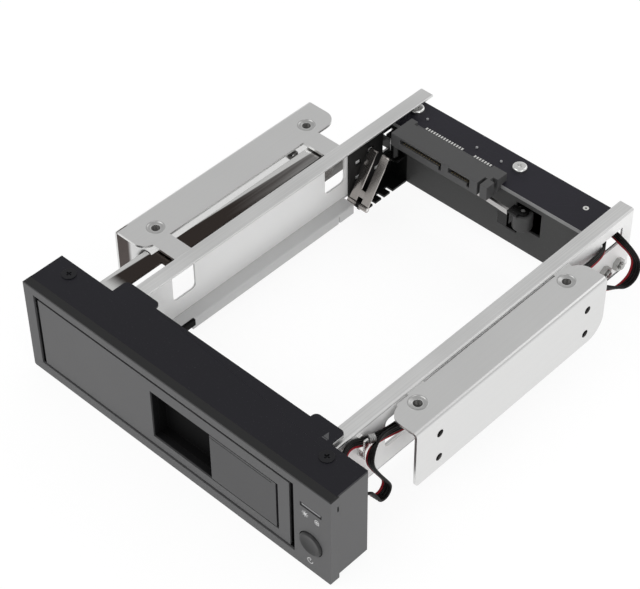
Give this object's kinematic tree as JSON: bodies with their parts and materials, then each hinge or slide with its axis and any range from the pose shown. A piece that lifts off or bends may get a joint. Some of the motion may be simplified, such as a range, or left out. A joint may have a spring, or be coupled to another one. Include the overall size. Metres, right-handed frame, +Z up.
{
  "type": "trayless hard drive cage",
  "caption": "Shallow cage for one drive: black bezel with a hinged door over a finger recess, steel side rails, outboard mounting brackets and a connector board at the back.",
  "frame": {"origin": "middle of the footprint, at the bezel's lower edge", "axes": "+X to the right seen from the bezel, +Y from the bezel to the back, +Z up as the picture shows it"},
  "size_m": [0.148, 0.1796, 0.0424],
  "materials": {
    "satin_black_plastic": "satin",
    "black_plastic": "matt",
    "black_steel": "satin",
    "stainless": "brushed",
    "polished_steel": "polished",
    "bright_steel": "bright",
    "black_screw": "satin",
    "board": "satin",
    "contact": "bright",
    "grey_plastic": "matt",
    "clear_plastic": "clear",
    "lamp": "gloss",
    "wire_black": "satin",
    "wire_red": "satin"
  },
  "bodies": {
    "cage": {"bezel_frame": "satin_black_plastic", "bezel_top_cover": "black_steel", "cover_screws": "black_screw", "door_hinge_pin": "bright_steel", "latch_keeper": "bright_steel", "front_board": "board", "front_board_screws": "bright_steel", "button_switch": "black_plastic", "status_leds": "lamp", "light_pipe": "clear_plastic", "front_cable_headers": "grey_plastic", "left_rail": "stainless", "right_rail": "stainless", "rail_screws": "bright_steel", "left_side_bracket": "stainless", "right_side_bracket": "stainless", "left_bracket_rivets": "bright_steel", "right_bracket_rivets": "bright_steel", "rear_crossmember": "black_steel", "roller_housing": "black_plastic", "crossmember_screws": "bright_steel", "crossmember_nuts": "bright_steel", "rear_board": "board", "rear_board_screws": "bright_steel", "drive_connector": "black_plastic", "connector_contacts": "contact", "connector_solder_legs": "bright_steel", "connector_pegs": "grey_plastic", "data_port": "black_plastic", "power_port": "black_plastic", "rear_cable_headers": "grey_plastic", "slide_bar_guides": "grey_plastic", "lever_pin": "bright_steel", "fork_pin": "bright_steel", "cable_clip": "bright_steel", "upper_ribbon_black": "wire_black", "upper_ribbon_red": "wire_red", "lower_ribbon_black": "wire_black", "lower_ribbon_red": "wire_red"},
    "door": {"door_panel": "satin_black_plastic", "door_cam": "black_plastic", "finger_cup": "black_plastic", "latch_pin": "bright_steel"},
    "latch": {"latch_handle": "satin_black_plastic", "latch_spring": "bright_steel"},
    "button": {"power_button": "black_plastic", "button_spring": "bright_steel"},
    "slide_bar_body": {"slide_bar": "polished_steel"},
    "lever": {"ejector_lever": "polished_steel", "roller_pin": "bright_steel"},
    "roller": {"ejector_roller": "black_plastic"},
    "fork": {"hold_down_fork": "polished_steel"}
  },
  "joints": [
    {"name": "door_hinge", "type": "hinge", "parent": "cage", "child": "door", "pos_m": [-0.0646, -0.086, 0.0206], "axis": [0, 0, -1], "range_deg": [0, 100]},
    {"name": "latch_pivot", "type": "hinge", "parent": "door", "child": "latch", "pos_m": [0.0474, -0.087, 0.02], "axis": [0, 0, 1], "range_deg": [0, 12], "stiffness_Nm_per_rad": 0.05, "springref_deg": -5.73},
    {"name": "button_press", "type": "slide", "parent": "cage", "child": "button", "axis": [0, 1, 0], "range_m": [0, 0.0012], "stiffness_N_per_m": 400, "springref_m": -0.0005},
    {"name": "bar_slide", "type": "slide", "parent": "cage", "child": "slide_bar_body", "axis": [0, 1, 0], "range_m": [0, 0.00402]},
    {"name": "lever_swing", "type": "hinge", "parent": "cage", "child": "lever", "pos_m": [-0.0395, 0.0686, 0.0257], "axis": [0, 0, -1], "range_deg": [0, 19.05]},
    {"name": "roller_spin", "type": "hinge", "parent": "lever", "child": "roller", "pos_m": [0.0234, 0.0694, 0.0257], "axis": [0, 0, 1], "continuous": true},
    {"name": "fork_fold", "type": "hinge", "parent": "cage", "child": "fork", "pos_m": [-0.0383, 0.0461, 0.0108], "axis": [-1, 0, 0], "range_deg": [0, 50], "stiffness_Nm_per_rad": 0.02, "springref_deg": -17.19}
  ],
  "couplings": [
    {"joint": "bar_slide", "follows": "door_hinge", "m_per_rad": 0.0022918},
    {"joint": "lever_swing", "follows": "door_hinge", "ratio": 0.19}
  ]
}
